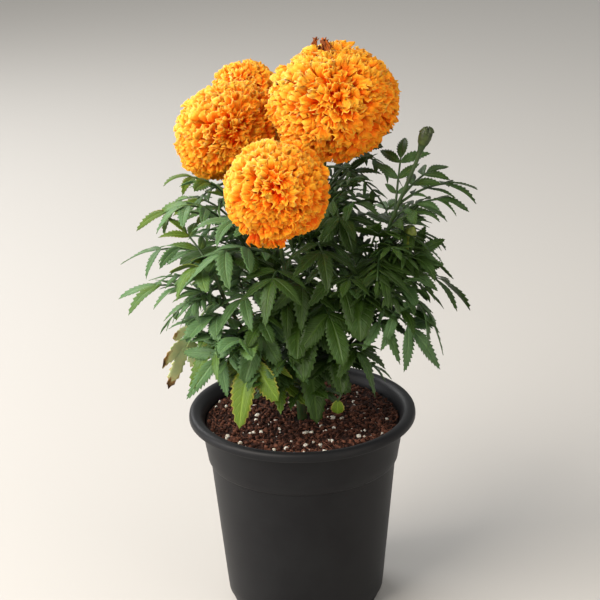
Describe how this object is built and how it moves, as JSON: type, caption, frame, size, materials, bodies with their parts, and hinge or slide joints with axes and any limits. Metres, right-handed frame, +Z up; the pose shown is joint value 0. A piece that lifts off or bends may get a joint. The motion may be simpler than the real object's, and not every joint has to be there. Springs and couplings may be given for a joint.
{
  "type": "potted african marigold",
  "caption": "African marigold in a round nursery pot of soil: branched leafy stems with double orange blooms, closed buds and a flat base to stand on.",
  "frame": {"origin": "middle of the pot's flat underside, on the surface it stands on", "axes": "+Z up, the front bloom faces -Y, and +X is to its right in the picture"},
  "size_m": [0.2464, 0.2236, 0.4019],
  "materials": {
    "pot_plastic": "charcoal moulded polypropylene, satin",
    "soil": "damp coir potting mix with white perlite",
    "leaf": "green leaf and stem, faint wax sheen",
    "petal": "soft orange petals",
    "withered": "dry yellow-brown leaf"
  },
  "bodies": {
    "root": {"pot": "pot_plastic", "soil": "soil", "main_stem": "leaf", "front_stem": "leaf", "left_stem": "leaf", "back_stem": "leaf", "bud_stem": "leaf", "low_left_stem": "leaf", "low_front_stem": "leaf", "low_right_stem": "leaf", "back_left_stem": "leaf", "back_right_stem": "leaf", "withered_leaf": "withered", "bloom_large": "petal", "bloom_front": "petal", "bloom_left": "petal", "bloom_back": "petal"}
  },
  "joints": []
}
